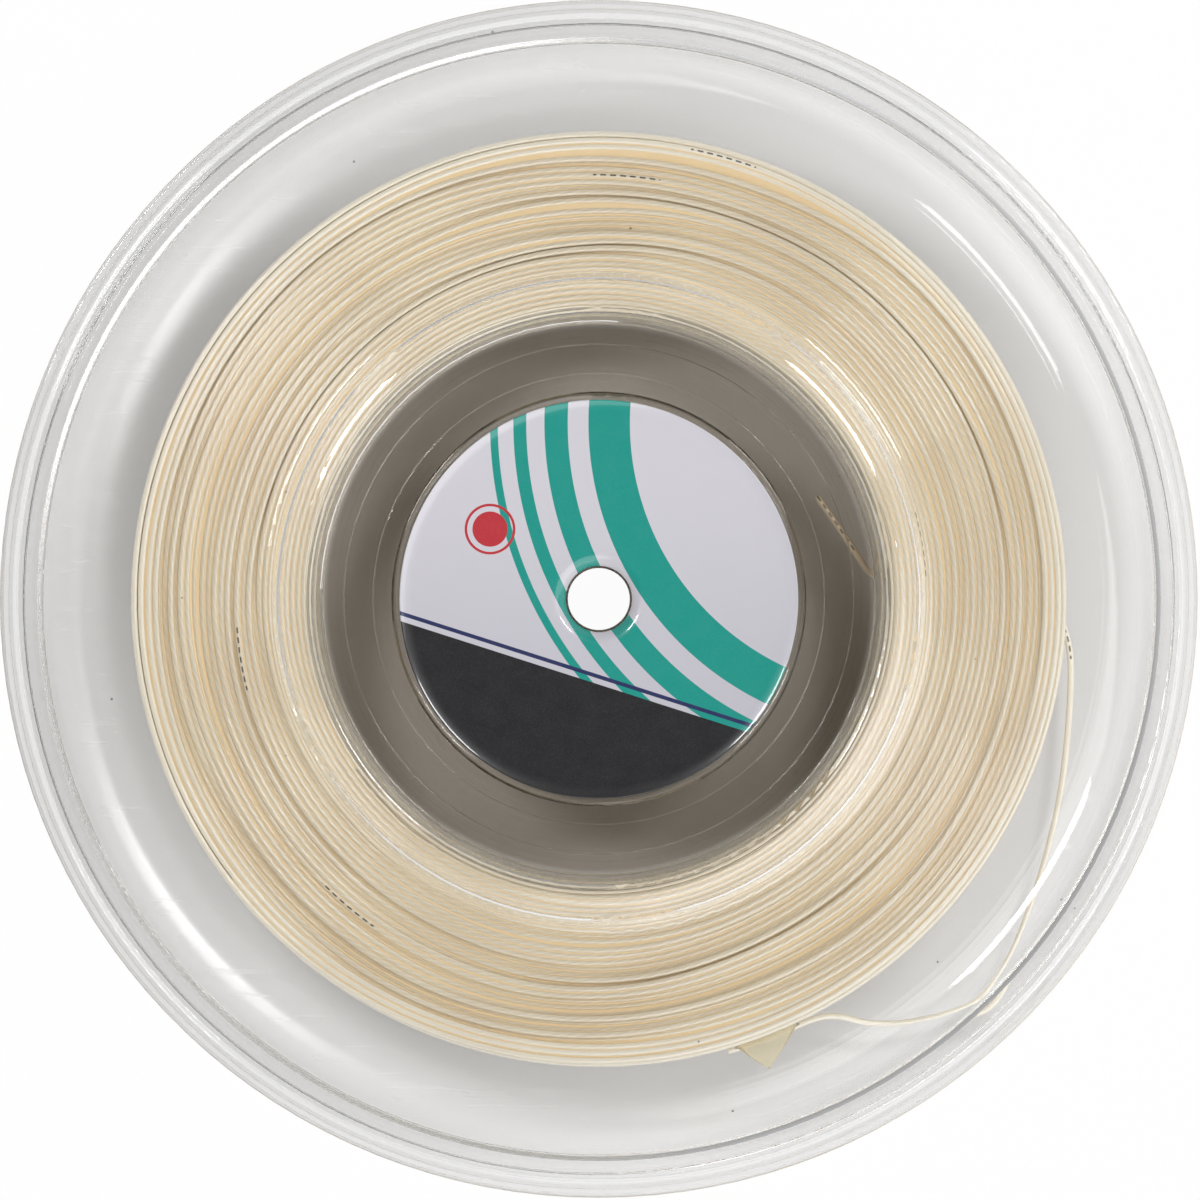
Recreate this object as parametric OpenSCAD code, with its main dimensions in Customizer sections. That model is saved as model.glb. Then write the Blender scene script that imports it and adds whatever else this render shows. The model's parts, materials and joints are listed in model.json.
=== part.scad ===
// Reel of racket string: two clear moulded halves pressed together around a
// cream string winding, with a paper label in the front hub. The reel lies on
// its rear rim, +Z is the spindle axis, and the origin is at the bottom centre.

/* [Flanges] */
// Outside diameter of both flanges
reel_d = 230; // [220:1:260]
// Overall width, measured over the two rims
reel_w = 45; // [40:0.5:60]
// Wall thickness of the flange plates
wall = 1.8; // [1.2:0.1:2.2]
// Radial width of the raised bead around the rim
bead_w = 3.2; // [2.6:0.1:5]
// Height of the bead above the flat ring inside it
bead_rise = 1.6; // [0.6:0.1:2.4]
// Radius that rounds the bead's two corners
bead_round = 0.8; // [0.3:0.1:1.2]
// Radial width of the flat ring between bead and cove
ring_w = 4.8; // [4.4:0.1:7]
// Radius of the cove that drops from the flat ring to the web
cove_r = 11.5; // [8:0.1:13]
// Height of the flat ring above the web, which the cove spans
cove_h = 5.8; // [4:0.1:6.5]
// Radius on the small edges of the two mouldings
edge_round = 0.3; // [0.2:0.05:0.4]
// Diameter of the four round ejector marks on the flat ring
ejector_d = 3.2; // [2:0.1:4]
// Depth of the ejector marks
ejector_depth = 0.2; // [0.1:0.05:0.4]

/* [Hub] */
// Outside diameter of the drum that carries the winding
drum_d = 111.2; // [109:0.1:114]
// Thickness of the drum wall at the hub floor
drum_wall = 2.2; // [1.8:0.1:2.6]
// Draft of the cup wall, from the floor to the mouth
cup_draft = 1; // [0.4:0.1:1.3]
// Height of the rolled lip above the web
lip_rise = 5; // [3.5:0.1:6]
// Outside radius of the rolled lip
lip_r = 6.2; // [6.1:0.1:7]
// Radius of the fillet between the lip and the web
lip_fillet = 2; // [0.5:0.1:4]
// Radius that rounds the cup mouth
mouth_round = 1.5; // [0.8:0.1:1.6]
// Depth of the hub floor below the rim
floor_depth = 17; // [15:0.1:17.5]
// Thickness of the hub floor
floor_wall = 1.8; // [1.4:0.1:2]
// Radius of the fillet where the cup wall meets the floor
floor_fillet = 0.5; // [0.3:0.1:1]
// Diameter of the spindle bore
bore_d = 12; // [8:0.1:16]
// Wall of the collar around the bore
collar_wall = 2; // [1.5:0.1:4]

/* [Label seat] */
// Diameter of the flat seat that takes the label
seat_d = 77.2; // [60:0.1:78]
// Depth of the seat below the hub floor
seat_depth = 1.2; // [0.6:0.1:1.4]
// Radius of the cove around the seat
seat_cove = 1.5; // [1.4:0.1:1.8]
// Clearance around the label in its seat
label_gap = 0.1; // [0.1:0.05:0.5]
// Thickness of the label
label_t = 0.2; // [0.1:0.05:0.4]
// Thickness of the glue under the label
label_glue = 0.05; // [0.02:0.01:0.1]
// Clearance between the label's hole and the bore
label_hole_gap = 0.4; // [0.2:0.1:1]

/* [Arc tongues] */
// Diameter of the circle that the tongues follow
tongue_circle_d = 92.8; // [91:0.1:94]
// Number of tongues
tongue_count = 4; // [3:1:5]
// Angle between the centres of a tongue's two round ends
tongue_arc = 62; // [30:1:62]
// Turn of the first tongue's middle from +X
tongue_turn = 63; // [55:1:65]
// How much the tongues' round ends are flattened, measured on the radius
end_ease = 0.15; // [0.1:0.05:0.4]
// Width of the pocket inside each tongue
pocket_w = 4; // [2.5:0.1:4.4]
// Thickness of a tongue's wall and tip
tongue_wall = 1; // [0.8:0.1:1.2]
// Clearance between a tongue and its socket
tongue_fit = 0.15; // [0.1:0.05:0.3]
// Thickness of the socket's two walls
socket_wall = 1.2; // [0.8:0.1:1.4]
// Gap that the tips and the socket's rim keep from the opposite floor
end_gap = 0.3; // [0.2:0.1:0.6]
// Width of the channel that joins the pockets on the front
channel_w = 5.4; // [4.6:0.1:6]
// Depth of that channel
channel_depth = 1; // [0.4:0.1:1.1]

/* [Drum joint] */
// Height of the spigot where the drum halves lap
spigot_h = 2; // [1:0.1:2.2]
// Thickness of the spigot
spigot_t = 0.9; // [0.7:0.1:1]
// Clearance around the spigot
spigot_fit = 0.1; // [0.05:0.05:0.2]

/* [String] */
// Diameter of the string
string_d = 1.24; // [1.1:0.01:1.4]
// Diameter of the full winding
winding_d = 180.2; // [170:0.1:184]
// Clearance between the winding and each flange web
winding_side_gap = 0.3; // [0.2:0.1:1]
// Clearance between the winding and the drum
winding_fit = 0.1; // [0.1:0.05:0.5]
// Turns of the string over the front side of the winding
face_turns = 10; // [6:1:10]
// Open gap between neighbouring turns of the outer layer
turn_gap = 0.5; // [0.45:0.01:0.8]
// Clearance between these turns and the core beneath them
layer_fit = 0.1; // [0.05:0.05:0.3]

/* [String slots] */
// Width of the slots that lead the string's inner end into the hub
slot_w = 2.4; // [2:0.1:4]
// Clearance beneath the string in these slots
slot_fit = 0.3; // [0.2:0.1:0.6]

/* [Tape] */
// Thickness of the clear tape that holds the string's outer end
tape_t = 0.3; // [0.2:0.05:0.4]
// How far the tape's underside lies below the winding's full radius
tape_sink = 0.2; // [0.1:0.05:0.25]
// Width of the tape around the winding
tape_w = 13; // [8:0.5:20]
// Length of the tape across the winding
tape_l = 19; // [14:0.5:20]
// Angle of the tape's middle from +X
tape_turn = -68.9; // [-69.5:0.1:-68]
// How far the tape reaches past the string towards the rear
tape_below = 3.2; // [2.9:0.1:3.6]
// Height of the tape's lifted corner above the winding
tab_h = 6.6; // [3:0.1:9]
// How far the lifted corner lies to one side of the tape's middle
tab_skew = 1.9; // [0:0.1:5]

/* [Hidden] */
$fn = 96;
eps = 0.01;

// Heights above the middle plane, where the two halves meet
rim_z = reel_w / 2;
ring_z = rim_z - bead_rise;
web_z = ring_z - cove_h;
web_in_z = web_z - wall;
lip_z = web_z + lip_rise;
floor_z = rim_z - floor_depth;
floor_in_z = floor_z - floor_wall;
seat_z = floor_z - seat_depth;
seat_in_z = seat_z - floor_wall;

// Radii
rim_r = reel_d / 2;
bead_in_r = rim_r - bead_w;
ring_in_r = bead_in_r - ring_w;
cove_x = ring_in_r - sqrt(cove_r ^ 2 - (cove_r - cove_h) ^ 2);
drum_r = drum_d / 2;
drum_in_r = drum_r - drum_wall;
mouth_r = drum_in_r + cup_draft;
mouth_x = mouth_r + mouth_round;
lip_x = mouth_x + 1.1;
bore_r = bore_d / 2;
seat_r = seat_d / 2;
tongue_r = tongue_circle_d / 2;
tongue_w = pocket_w + 2 * tongue_wall;
socket_half = tongue_w / 2 + tongue_fit;
step_r = tongue_r + socket_half + socket_wall + tongue_fit;

// The winding's outer layer, wound from the front web to the rear web
layer_r = winding_d / 2 - string_d / 2;
loop_rings = 24;
side_z = web_in_z - winding_side_gap;
layer_z = side_z - string_d / 2;
turns = floor(2 * layer_z / (string_d + turn_gap));
pitch = 2 * layer_z / turns;
core_r = layer_r * cos(180 / loop_rings) - string_d / 2 - layer_fit;
core_front_z = side_z - string_d - layer_fit;

// The string starts radially beside the drum, bends over, runs outwards in open
// turns over the core's front side, climbs to the outer layer and goes on in it
face_bend = 0.9;
face_r = drum_r + winding_fit + string_d + face_bend;
face_start = concat(
    [[drum_r + winding_fit, 0, layer_z]],
    [for (a = [0 : 30 : 90])
        [face_r - face_bend + face_bend * sin(a), face_bend * (cos(a) - 1), layer_z]]);
face_rings = face_turns * loop_rings;
climb_rings = loop_rings / 4;
face_rows = [for (i = [1 : face_rings])
    let (a = -360 * i / loop_rings,
        climb = string_d * max(0, 1 - (face_rings - i) / climb_rings),
        r = face_r + (layer_r - string_d - face_r) * i / face_rings + climb)
            [r * cos(a), r * sin(a), layer_z]];
layer_turns = [for (i = [1 : turns * loop_rings])
    let (a = -360 * i / loop_rings)
        [layer_r * cos(a), layer_r * sin(a), layer_z - pitch * i / loop_rings]];
layer_end = [layer_r, -1.2 * string_d, -layer_z];
layer_path = concat(face_start, face_rows, layer_turns, [layer_end]);

// Free loop of string, from the end of the outer layer to the tape, as x, y
// and height above the middle plane
tail_lead = layer_end - [0, 1.2 * string_d, 0];
tail_route = concat([tail_lead], [
    [90.2, -5.4, -12.4], [91.2, -9, -12.5], [91.6, -14, -12.6], [91.3, -22, -12.6],
    [90.6, -30, -12.6], [89.5, -38, -12.6], [87.7, -47, -12.6], [85.2, -57, -12.6],
    [82.2, -67, -12.7], [80, -72.6, -12.8], [78, -76.6, -12.9], [75.6, -79.4, -12.9],
    [72, -80.8, -12.9], [65, -82, -12.7], [58, -82.6, -12.4], [52, -82.2, -11.7],
    [47, -81, -10.6], [43.4, -81, -9.8], [40, -82, -9.2], [36, -83.7, -9],
    [32, -85.3, -9], [28, -86.7, -9], [25, -87.6, -9]]);

// Inner end of the string, from the winding through the drum into the hub, as
// steps from the drum's surface
start_route = [for (step = [
    [-0.2, 4.4, -0.8], [-1.4, 4.4, -0.8], [-2.6, 4.6, -0.8], [-3.7, 5.6, -0.8], [-5, 7.4, -0.8],
    [-6.8, 10.2, -0.8], [-8.8, 13.2, -0.8], [-11, 16.4, -0.8], [-13.4, 19.8, -0.8]])
    [drum_r, 0, 0] + step];
start_z = start_route[0].z;

function unit(v) = v / norm(v);

// Points on a smooth curve through p, with a number of steps between points
function spline_point(a, b, c, d, t) =
    (2 * b + t * (c - a) + t * t * (2 * a - 5 * b + 4 * c - d)
        + t * t * t * (3 * b - a - 3 * c + d)) / 2;
function smooth(p, steps) = concat(
    [for (i = [0 : len(p) - 2], s = [0 : steps - 1])
        spline_point(p[max(i - 1, 0)], p[i], p[i + 1], p[min(i + 2, len(p) - 1)], s / steps)],
    [p[len(p) - 1]]);

function heading(p, i) = unit(p[min(i + 1, len(p) - 1)] - p[max(i - 1, 0)]);

function ring(centre, along, d, sides) =
    let (side = unit(cross(along, [0, 0, 1])), up = cross(side, along))
        [for (k = [0 : sides - 1])
            centre + d / 2 * (cos(360 * k / sides) * side + sin(360 * k / sides) * up)];

// Least distance between turns of a path, less the string's diameter
function self_gap(p, apart) = min([for (i = [0 : len(p) - 1 - apart])
    min([for (j = [i + apart : len(p) - 1]) norm(p[i] - p[j])])]) - string_d;

// One unbroken tube along a path
module tube(path, d, sides) {
    points = [for (i = [0 : len(path) - 1]) each ring(path[i], heading(path, i), d, sides)];
    last = (len(path) - 1) * sides;
    walls = [for (i = [0 : len(path) - 2], k = [0 : sides - 1])
        let (a = i * sides + k, b = i * sides + (k + 1) % sides)
            each [[a, b, a + sides], [b, b + sides, a + sides]]];
    ends = [for (k = [1 : sides - 2]) each [[0, k + 1, k], [last, last + k, last + k + 1]]];
    polyhedron(points, concat(walls, ends), convexity = 10);
}

// Rectangle between two corners, in the radius and height plane
module box2(r0, z0, r1, z1) {
    translate([r0, z0]) square([r1 - r0, z1 - z0]);
}

// Patch between a square corner and a circle that touches both of its sides. It
// fills an inner corner or is cut off an outer one; side points to the centre.
module corner(r, z, round, side) {
    outer = [r, z] - eps * side;
    centre = [r, z] + round * side;
    difference() {
        polygon([outer, [centre.x, outer.y], centre, [outer.x, centre.y]]);
        translate(centre) circle(round);
    }
}

// Cove and flat ring of a flange, with the bead around its rim
module flange_outline() {
    cove = [cove_x, web_z + cove_r];
    edge_z = ring_z - edge_round;
    edge = [cove_x + sqrt((cove_r + edge_round) ^ 2 - (cove.y - edge_z) ^ 2), edge_z];
    difference() {
        union() {
            intersection() {
                difference() {
                    translate(cove) circle(cove_r + wall);
                    translate(cove) circle(cove_r);
                }
                box2(cove_x, web_in_z, ring_in_r + wall, ring_z);
            }
            box2(ring_in_r, ring_z - wall, rim_r, ring_z);
            box2(bead_in_r, ring_z - wall, rim_r, rim_z - bead_round);
            box2(bead_in_r + bead_round, ring_z - wall, rim_r - bead_round, rim_z);
            for (r = [bead_in_r + bead_round, rim_r - bead_round])
                translate([r, rim_z - bead_round]) circle(bead_round);
            corner(bead_in_r, ring_z, edge_round, [-1, 1]);
        }
        difference() {
            polygon([cove, edge, [edge.x, cove.y]]);
            translate(edge) circle(edge_round);
        }
        corner(rim_r, ring_z - wall, edge_round, [-1, 1]);
    }
}

// Web, rolled lip and drum wall, down to the middle plane. The lip is hollow
// below, with an even wall that runs on into the web.
module drum_outline() {
    roll = [lip_x, lip_z - lip_r];
    fillet_z = web_z + lip_fillet;
    fillet = [lip_x + sqrt((lip_r + lip_fillet) ^ 2 - (fillet_z - roll.y) ^ 2), fillet_z];
    hollow_z = min(roll.y, web_in_z) - eps;
    difference() {
        union() {
            box2(lip_x, web_in_z, cove_x, web_z);
            intersection() {
                translate(roll) circle(lip_r);
                box2(lip_x, web_in_z, lip_x + lip_r, lip_z);
            }
            difference() {
                polygon([roll, fillet, [fillet.x, web_z]]);
                translate(fillet) circle(lip_fillet);
            }
            box2(mouth_x, web_in_z, lip_x, lip_z);
            translate([mouth_x, lip_z - mouth_round]) circle(mouth_round);
            polygon([[drum_in_r, 0], [drum_r, 0], [drum_r, web_in_z], [mouth_x, web_in_z],
                [mouth_x, lip_z - mouth_round], [mouth_r, lip_z - mouth_round],
                [drum_in_r, floor_z]]);
        }
        intersection() {
            translate(roll) circle(lip_r - wall);
            box2(drum_r, 0, lip_x + lip_r, lip_z);
        }
        difference() {
            polygon([roll, fillet, [fillet.x, hollow_z], [roll.x, hollow_z]]);
            translate(fillet) circle(lip_fillet + wall);
        }
    }
}

// Hub floor with its label seat, and the collar around the bore
module floor_outline() {
    lean = atan(cup_draft / (lip_z - mouth_round - floor_z));
    fillet_x = drum_in_r - floor_fillet * (1 - sin(lean)) / cos(lean);
    fillet = [fillet_x, floor_z + floor_fillet];
    difference() {
        polygon([[drum_in_r + eps, floor_z - eps], [fillet.x, floor_z - eps], fillet,
            fillet + (floor_fillet + eps) * [cos(lean), -sin(lean)]]);
        translate(fillet) circle(floor_fillet);
    }
    difference() {
        union() {
            box2(step_r - eps, floor_in_z, drum_in_r + eps, floor_z);
            box2(bore_r, seat_in_z, step_r, floor_z);
            box2(bore_r, 0, bore_r + collar_wall, seat_z);
        }
        box2(0, seat_z, seat_r, floor_z + eps);
        translate([seat_r, seat_z + seat_cove]) circle(seat_cove);
    }
}

module half_outline() {
    flange_outline();
    drum_outline();
    floor_outline();
}

// Bent slot with rounded ends, on the tongues' circle
module arc_slot(w) {
    far = 2 * tongue_r;
    half_arc = tongue_arc / 2;
    intersection() {
        difference() {
            circle(tongue_r + w / 2);
            circle(tongue_r - w / 2);
        }
        union() {
            polygon([[0, 0], for (a = [-half_arc, 0, half_arc]) far * [cos(a), sin(a)]]);
            for (a = [-half_arc, half_arc]) rotate(a) translate([tongue_r, 0]) circle(w / 2 + end_ease);
        }
    }
}

// Channel that joins the pockets, with its two upper edges rounded off
module channel_outline() {
    box2(tongue_r - channel_w / 2, floor_z - channel_depth, tongue_r + channel_w / 2, floor_z + eps);
    for (s = [-1, 1]) corner(tongue_r + s * channel_w / 2, floor_z, edge_round, [s, -1]);
}

module around_tongues() {
    for (k = [0 : tongue_count - 1]) rotate([0, 0, tongue_turn + 360 * k / tongue_count]) children();
}

module ejector_marks() {
    for (a = [45 : 90 : 315])
        rotate([0, 0, a]) translate([(ring_in_r + bead_in_r) / 2, 0, ring_z - ejector_depth])
            cylinder(d = ejector_d, h = ejector_depth + eps);
}

module front_half() {
    tip_z = -seat_in_z + end_gap;
    color("lightcyan", 0.4) difference() {
        union() {
            rotate_extrude() half_outline();
            around_tongues() translate([0, 0, tip_z])
                linear_extrude(seat_in_z + eps - tip_z) arc_slot(tongue_w);
        }
        around_tongues() translate([0, 0, tip_z + tongue_wall])
            linear_extrude(floor_z - tip_z) arc_slot(pocket_w);
        rotate_extrude() channel_outline();
        rotate_extrude() box2(drum_in_r - eps, -eps,
            drum_in_r + spigot_t + spigot_fit, spigot_h + spigot_fit);
        ejector_marks();
    }
}

// Slot cut down through the rear half's walls, along a stretch of the string
module string_slot(from, to) {
    bottom = start_z - string_d / 2 - slot_fit;
    run = norm(to - from);
    translate([from.x, from.y, bottom]) rotate([0, 0, atan2(to.y - from.y, to.x - from.x)])
        translate([0, -slot_w / 2, 0]) cube([run, slot_w, rim_z]);
}

module rear_half() {
    drum_exit = [drum_r + 1, start_route[0].y];
    color("azure", 0.4) difference() {
        union() {
            mirror([0, 0, 1]) rotate_extrude() half_outline();
            rotate_extrude() box2(drum_in_r, -floor_in_z, drum_in_r + spigot_t, spigot_h);
            for (r = [tongue_r - socket_half - socket_wall, tongue_r + socket_half])
                rotate_extrude() box2(r, -floor_in_z - eps, r + socket_wall, seat_in_z - end_gap);
        }
        string_slot(drum_exit, drum_exit - [2 * drum_wall, 0]);
        string_slot(start_route[3], start_route[7]);
        mirror([0, 0, 1]) ejector_marks();
    }
}

module label() {
    color("lavender") translate([0, 0, seat_z + label_glue]) rotate_extrude()
        box2(bore_r + label_hole_gap, 0, seat_r - label_gap, label_t);
}

module string_core() {
    color("wheat") rotate_extrude() box2(drum_r + winding_fit, -side_z, core_r, core_front_z);
}

module string_outer_layer() {
    echo(str("least gap between turns: ", self_gap(layer_path, loop_rings / 2), " mm"));
    color("cornsilk") tube(layer_path, string_d, 6);
}

module string_tail() {
    color("cornsilk") tube(concat([layer_end - [0, eps, 0]], smooth(tail_route, 2)), string_d, 8);
}

module string_start() {
    color("burlywood") tube(start_route, string_d, 8);
}

// Strip of tape over the string's end, with its front end lifted and torn to a corner
module end_tape() {
    low_r = winding_d / 2 - tape_sink;
    high_r = winding_d / 2 + 1.5 * string_d;
    over_z = tail_route[len(tail_route) - 1].z;
    rear_z = over_z - tape_below;
    front_z = rear_z + tape_l;
    half_turn = tape_w / winding_d * 360 / PI / 2;
    edge = (low_r + tape_t) * [cos(half_turn), sin(half_turn)];
    tip = [low_r + tab_h, -tab_skew];
    underside = [[low_r, front_z], [low_r, over_z + 2 * string_d], [high_r, over_z + string_d / 2],
        [high_r, over_z - string_d / 2], [low_r, over_z - 2 * string_d], [low_r, rear_z]];
    top_side = [for (i = [len(underside) - 1 : -1 : 1]) underside[i] + [tape_t, 0]];
    lifted = [[low_r + tape_t, front_z - tape_t], [tip.x + tape_t, front_z - tape_t],
        [tip.x + tape_t, front_z]];
    color("ivory", 0.5) rotate([0, 0, tape_turn]) difference() {
        rotate([0, 0, -half_turn]) rotate_extrude(angle = 2 * half_turn)
            polygon(concat(underside, top_side, lifted));
        for (s = [-1, 1]) translate([0, 0, front_z - 2 * tape_t]) linear_extrude(3 * tape_t)
            polygon([[edge.x, s * edge.y], tip, [tip.x + tab_h, tip.y],
                [tip.x + tab_h, s * tape_w], [edge.x, s * tape_w]]);
    }
}

translate([0, 0, rim_z]) {
    front_half();
    rear_half();
    label();
    string_core();
    string_outer_layer();
    string_tail();
    string_start();
    end_tape();
}
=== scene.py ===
# %% [markdown]
# # A reel of tennis string, dressed on its CAD frame
#
# The object is a flat, clear plastic reel that carries about two hundred metres of cream string. Its
# frame comes ready made from CAD: two clear halves pressed together at the hub, a label, and plain
# bodies for the string. The halves keep their exact shape here and only get a material. The string is
# soft and wound by hand and machine, so it is built again in this file, turn by turn. A new Blender
# file often holds a cube, a lamp and a camera, so these go first.

# %% Load the frame
import json
import math

import bpy
import numpy as np
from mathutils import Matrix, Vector

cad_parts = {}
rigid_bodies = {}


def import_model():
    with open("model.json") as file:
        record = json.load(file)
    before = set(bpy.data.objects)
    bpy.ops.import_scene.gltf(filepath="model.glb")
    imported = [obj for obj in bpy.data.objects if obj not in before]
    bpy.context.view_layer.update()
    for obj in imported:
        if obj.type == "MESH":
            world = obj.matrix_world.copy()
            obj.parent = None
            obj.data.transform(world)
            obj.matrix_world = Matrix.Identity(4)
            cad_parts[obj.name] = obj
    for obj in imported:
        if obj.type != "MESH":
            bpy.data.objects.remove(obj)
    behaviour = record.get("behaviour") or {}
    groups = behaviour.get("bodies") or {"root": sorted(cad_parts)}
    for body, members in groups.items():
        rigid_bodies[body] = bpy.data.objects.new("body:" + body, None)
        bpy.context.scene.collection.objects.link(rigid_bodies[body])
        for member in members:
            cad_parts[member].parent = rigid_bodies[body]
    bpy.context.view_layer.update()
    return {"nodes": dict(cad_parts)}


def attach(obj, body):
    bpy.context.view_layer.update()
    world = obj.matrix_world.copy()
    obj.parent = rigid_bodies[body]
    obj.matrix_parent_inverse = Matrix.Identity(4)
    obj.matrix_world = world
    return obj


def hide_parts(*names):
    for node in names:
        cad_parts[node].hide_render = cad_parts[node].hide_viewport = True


for thing in list(bpy.data.objects):
    bpy.data.objects.remove(thing)

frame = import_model()
print("CAD nodes:", sorted(frame["nodes"]))

# %% [markdown]
# Everything is in metres, with the reel lying on its rear face and the axis upright. A few sizes of the
# frame are used again and again, so they get names. The winding is measured from the middle plane,
# halfway up.

# %% Sizes shared by the pieces
MM = 0.001
REEL_W = 45 * MM
MIDDLE = REEL_W / 2
STRING_D = 1.24 * MM
DRUM_R = 55.6 * MM
WEB_INNER = 35.8 * MM - MIDDLE
FACE_Z = WEB_INNER - 0.3 * MM - STRING_D / 2
OUTER_R = 89.48 * MM
print("string rows lie", round(FACE_Z / MM, 2), "mm in front of and behind the middle plane")

# %% [markdown]
# ## Camera
#
# The reel is seen straight from above, from far away and through a long lens, so its rim and its web
# line up almost without perspective. A long lens keeps circles round; a short lens close by would show
# the side of the drum instead.

# %% Camera
CAMERA_LENS = 500
CAMERA_PLACE = (0.00023, -0.00019, 3.2443)
camera_data = bpy.data.cameras.new("camera")
camera_data.lens = CAMERA_LENS
camera_data.sensor_width = 36
camera_data.clip_end = 20
camera = bpy.data.objects.new("camera", camera_data)
camera.location = CAMERA_PLACE
bpy.context.scene.collection.objects.link(camera)
bpy.context.scene.camera = camera
print("camera", round(CAMERA_PLACE[2] - REEL_W, 3), "m above the rim")

# %% [markdown]
# ## One tube for every string
#
# A string is a round tube along a line. Blender's curves can bevel one, but a winding of fifty turns
# also needs a UV map that says how far along the string each point is, because the fibres twist round
# it at a fixed pitch. Building the rings in numpy gives both: U is the distance run in metres, V goes
# once round. Two more values help to colour it: "buried" says how deep a stretch lies under its
# neighbours, and "beside" says where round the string these neighbours touch it, 0 for left and right
# in a row and 0.25 for above and below in the helix.

# %% Tube along a line
def unit(vectors):
    return vectors / np.linalg.norm(vectors, axis=-1, keepdims=True)


def run_length(path):
    return np.concatenate([[0], np.cumsum(np.linalg.norm(np.diff(path, axis=0), axis=1))])


def tube(name, path, diameter, sides=8, run_start=0.0, buried=0.0, beside=0.0):
    """A closed round tube along path, with the way along and round it as UV."""
    path = np.asarray(path, float)
    count = len(path)
    along = unit(np.gradient(path, axis=0))
    side = unit(np.cross(along, [0, 0, 1]))
    up = np.cross(side, along)
    turn = 2 * np.pi * np.arange(sides) / sides
    spokes = np.cos(turn)[None, :, None] * side[:, None] + np.sin(turn)[None, :, None] * up[:, None]
    points = (path[:, None] + diameter / 2 * spokes).reshape(-1, 3)

    first = np.arange(count - 1)[:, None] * sides
    here = first + np.arange(sides)[None]
    after = first + (np.arange(sides)[None] + 1) % sides
    walls = np.stack([here, here + sides, after + sides, after], axis=-1).reshape(-1, 4)
    mesh = bpy.data.meshes.new(name)
    caps = [list(range(sides)), list(range(count * sides - 1, (count - 1) * sides - 1, -1))]
    mesh.from_pydata(points.tolist(), [], walls.tolist() + caps)

    run = run_start + run_length(path)
    ends = np.array([run[:-1], run[1:], run[1:], run[:-1]]).T
    u = np.repeat(ends[:, None], sides, axis=1)
    sector = np.arange(sides)[:, None] + np.array([0, 0, 1, 1])
    v = np.broadcast_to(sector / sides, u.shape)
    uv = np.stack([u, v], axis=-1).reshape(-1, 2)
    uv = np.concatenate([uv, np.zeros((2 * sides, 2))])
    mesh.uv_layers.new(name="lay").data.foreach_set("uv", uv.ravel())
    for kind, values in (("buried", buried), ("beside", beside)):
        each = np.repeat(np.broadcast_to(values, count), sides).astype(np.float32)
        mesh.attributes.new(kind, "FLOAT", "POINT").data.foreach_set("value", each)
    smooth = np.ones(len(mesh.polygons), bool)
    smooth[-2:] = False
    mesh.polygons.foreach_set("use_smooth", smooth)
    piece = bpy.data.objects.new(name, mesh)
    bpy.context.scene.collection.objects.link(piece)
    return piece

# %% [markdown]
# ## The loose end of the string
#
# The last turn of string leaves the winding at the rear, runs in a long loose bow over the clear web
# and comes back under a strip of tape. This is a free cord: it has one real length, it rests on the
# web, and both of its ends go into the object. The route is a short list of given points, with a
# smooth curve through them.

# %% Route of the loose end
TAIL_ROUTE = [
    [90.2, -5.4, -12.4], [91.2, -9, -12.5], [91.6, -14, -12.6], [91.3, -22, -12.6],
    [90.6, -30, -12.6], [89.5, -38, -12.6], [87.7, -47, -12.6], [85.2, -57, -12.6],
    [82.2, -67, -12.7], [80, -72.6, -12.8], [78, -76.6, -12.9], [75.6, -79.4, -12.9],
    [72, -80.8, -12.9], [65, -82, -12.7], [58, -82.6, -12.4], [52, -82.2, -11.7],
    [47, -81, -10.6], [43.4, -81, -9.8], [40, -82, -9.2], [36, -83.7, -9],
    [32, -85.3, -9], [28, -86.7, -9], [25, -87.6, -9]]
LAYER_END = [89.48, -1.2 * 1.24, -12.38]
TAIL_LEAD = [89.48, -2.4 * 1.24, -12.38]


def smooth_line(points, steps):
    """A smooth curve through the points, with some steps from each to the next."""
    points = np.asarray(points, float)
    padded = np.concatenate([points[:1], points, points[-1:]])
    before, start, end, after = padded[:-3], padded[1:-2], padded[2:-1], padded[3:]
    rows = []
    for t in np.arange(steps) / steps:
        rows.append((2 * start + t * (end - before) + t * t * (2 * before - 5 * start + 4 * end - after)
                     + t ** 3 * (3 * start - before - 3 * end + after)) / 2)
    line = np.stack(rows, axis=1).reshape(-1, 3)
    return np.concatenate([line, points[-1:]])


def from_middle(points):
    """Millimetres from the middle plane, as metres from the floor."""
    return np.asarray(points, float) * MM + np.array([0, 0, MIDDLE])


tail_path = smooth_line(from_middle([LAYER_END, TAIL_LEAD] + TAIL_ROUTE), 5)

# %% [markdown]
# ## How a winding machine fills the reel
#
# The string goes round the drum in layers. What shows through each clear web is one row per layer: a
# spiral that starts at the drum and works outward. A perfect spiral looks like a record groove, and the
# real one doesn't: in the middle, strings dip under their neighbours, open narrow gaps and close them
# again. So each face is built from the rule that the real string follows. Where the next row lies
# deeper, it may slip closer, because two round strings only have to stay one diameter apart. Smooth
# random depths make rows dip, and a few smooth random gaps are stretched until the row total fills the
# space between the drum and the outermost layer.

# %% Smooth chance
TURN_STEPS = 160
rng = np.random.default_rng(7)


def smooth_chance(count, reach):
    """Random values that change smoothly over about that many steps, with a spread of one."""
    kernel = np.exp(-0.5 * (np.arange(-3 * reach, 3 * reach + 1) / reach) ** 2)
    values = np.convolve(rng.standard_normal(count + len(kernel) - 1), kernel, "valid")
    return values / values.std()


def ease(x):
    x = np.clip(x, 0, 1)
    return x * x * (3 - 2 * x)


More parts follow.
